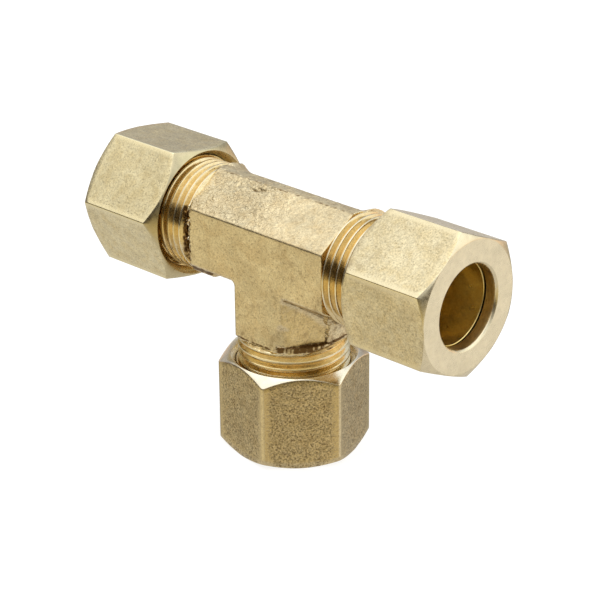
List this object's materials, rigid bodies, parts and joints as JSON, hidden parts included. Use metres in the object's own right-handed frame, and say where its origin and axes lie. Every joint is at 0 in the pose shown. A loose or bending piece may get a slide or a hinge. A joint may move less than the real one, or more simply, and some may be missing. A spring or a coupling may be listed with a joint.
{
  "type": "compression tee fitting",
  "caption": "Brass compression union tee that joins tubes along a run and a branch; a hexagonal nut at each end draws a ferrule onto its tube.",
  "frame": {"origin": "on the branch axis, in the outer face of the branch nut", "axes": "+Z along the branch axis towards the run, X along the run (+X towards the right-hand run nut), Y across the body's flats"},
  "size_m": [0.0685, 0.0236, 0.0451],
  "materials": {
    "forged_brass": "as-forged, tumbled brass, rough on its inclined faces, machined on its threads",
    "machined_brass": "satin extruded hexagon flats with bright turned chamfers and end faces",
    "sleeve_brass": "smooth turned brass"
  },
  "bodies": {
    "body": {"tee_body": "forged_brass"},
    "left_sleeve": {"left_run_ferrule": "sleeve_brass"},
    "left_nut": {"left_run_nut": "machined_brass"},
    "right_sleeve": {"right_run_ferrule": "sleeve_brass"},
    "right_nut": {"right_run_nut": "machined_brass"},
    "branch_sleeve": {"branch_ferrule": "sleeve_brass"},
    "branch_nut": {"branch_nut": "machined_brass"}
  },
  "joints": [
    {"name": "left_travel", "type": "slide", "parent": "body", "child": "left_sleeve", "axis": [-1, 0, 0], "range_m": [-0.0016, 0.0032]},
    {"name": "left_nut_turn", "type": "hinge", "parent": "left_sleeve", "child": "left_nut", "pos_m": [-0.03452, 0, 0.03319], "axis": [-1, 0, 0], "range_deg": [-450, 900]},
    {"name": "right_travel", "type": "slide", "parent": "body", "child": "right_sleeve", "axis": [1, 0, 0], "range_m": [-0.00105, 0.00385]},
    {"name": "right_nut_turn", "type": "hinge", "parent": "right_sleeve", "child": "right_nut", "pos_m": [0.03395, 0, 0.03319], "axis": [1, 0, 0], "range_deg": [-290, 1080]},
    {"name": "branch_travel", "type": "slide", "parent": "body", "child": "branch_sleeve", "axis": [0, 0, -1], "range_m": [-0.0003, 0.0046]},
    {"name": "branch_nut_turn", "type": "hinge", "parent": "branch_sleeve", "child": "branch_nut", "pos_m": [0, 0, 0], "axis": [0, 0, -1], "range_deg": [-80, 1290]}
  ],
  "couplings": [
    {"joint": "left_travel", "follows": "left_nut_turn", "m_per_rad": 0.00020213},
    {"joint": "right_travel", "follows": "right_nut_turn", "m_per_rad": 0.00020213},
    {"joint": "branch_travel", "follows": "branch_nut_turn", "m_per_rad": 0.00020213}
  ]
}
